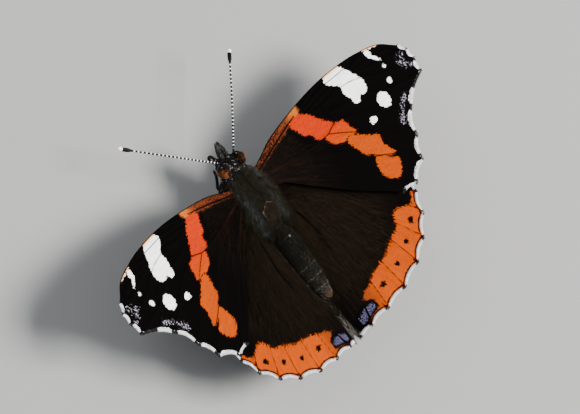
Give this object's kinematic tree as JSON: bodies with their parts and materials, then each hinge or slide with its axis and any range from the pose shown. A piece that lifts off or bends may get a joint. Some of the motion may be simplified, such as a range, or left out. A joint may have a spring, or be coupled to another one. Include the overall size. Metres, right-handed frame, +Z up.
{
  "type": "red admiral butterfly model",
  "caption": "Still life-size red admiral standing on its four walking legs, with veined wings spread in a shallow V, antennae forward and a furry body.",
  "frame": {"origin": "on the floor under the middle of the overall box, between the walking legs", "axes": "+Z up, the head faces -Y, the butterfly's left wings reach towards +X"},
  "size_m": [0.0644, 0.0401, 0.0121],
  "materials": {
    "body_fur": "dark grey-brown fur and scales, matte",
    "eye": "brown faceted eye, glossy",
    "antenna": "black with white rings and a pale tip",
    "proboscis": "dark brown, satin",
    "wing": "matte black-brown scales with orange-red bands and white spots",
    "leg": "brown scaled legs, matte"
  },
  "bodies": {
    "root": {"thorax": "body_fur", "abdomen": "body_fur", "head": "body_fur", "eye_left": "eye", "eye_right": "eye", "antenna_left": "antenna", "antenna_right": "antenna", "labial_palp_left": "body_fur", "labial_palp_right": "body_fur", "proboscis": "proboscis", "forewing_left": "wing", "forewing_right": "wing", "hindwing_left": "wing", "hindwing_right": "wing", "foreleg_left": "leg", "foreleg_right": "leg", "midleg_left": "leg", "midleg_right": "leg", "hindleg_left": "leg", "hindleg_right": "leg"}
  },
  "joints": []
}
